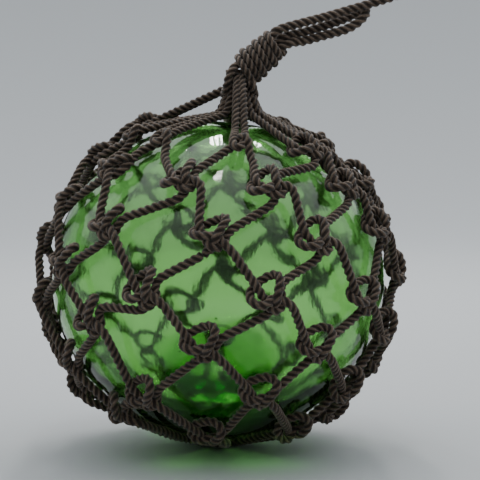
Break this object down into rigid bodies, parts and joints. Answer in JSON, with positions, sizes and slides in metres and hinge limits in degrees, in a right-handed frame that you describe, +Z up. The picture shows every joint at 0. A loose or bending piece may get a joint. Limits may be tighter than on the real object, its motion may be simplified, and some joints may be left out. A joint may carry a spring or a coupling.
{
  "type": "glass float ball",
  "caption": "Green blown-glass fishing float ball in a knotted rope net, with a wrapped knot and a hanging rope that ends in an eye.",
  "frame": {"origin": "middle of the flat coil of rope underneath, on the surface that the float stands on", "axes": "+Z up, -Y towards the viewer of the picture, +X to the viewer's right, where the hanging rope leads"},
  "size_m": [0.3988, 0.3133, 0.4368],
  "materials": {
    "green_glass": "clear, bubbly and slightly wavy blown glass",
    "net_rope": "dark brown three-strand rope, matt and weathered",
    "hanging_rope": "brown three-strand rope, matt and weathered"
  },
  "bodies": {
    "root": {"glass_ball": "green_glass", "net": "net_rope", "wrapped_knot": "hanging_rope", "hanging_rope": "hanging_rope", "rope_bight": "hanging_rope", "rope_eye": "hanging_rope"}
  },
  "joints": []
}
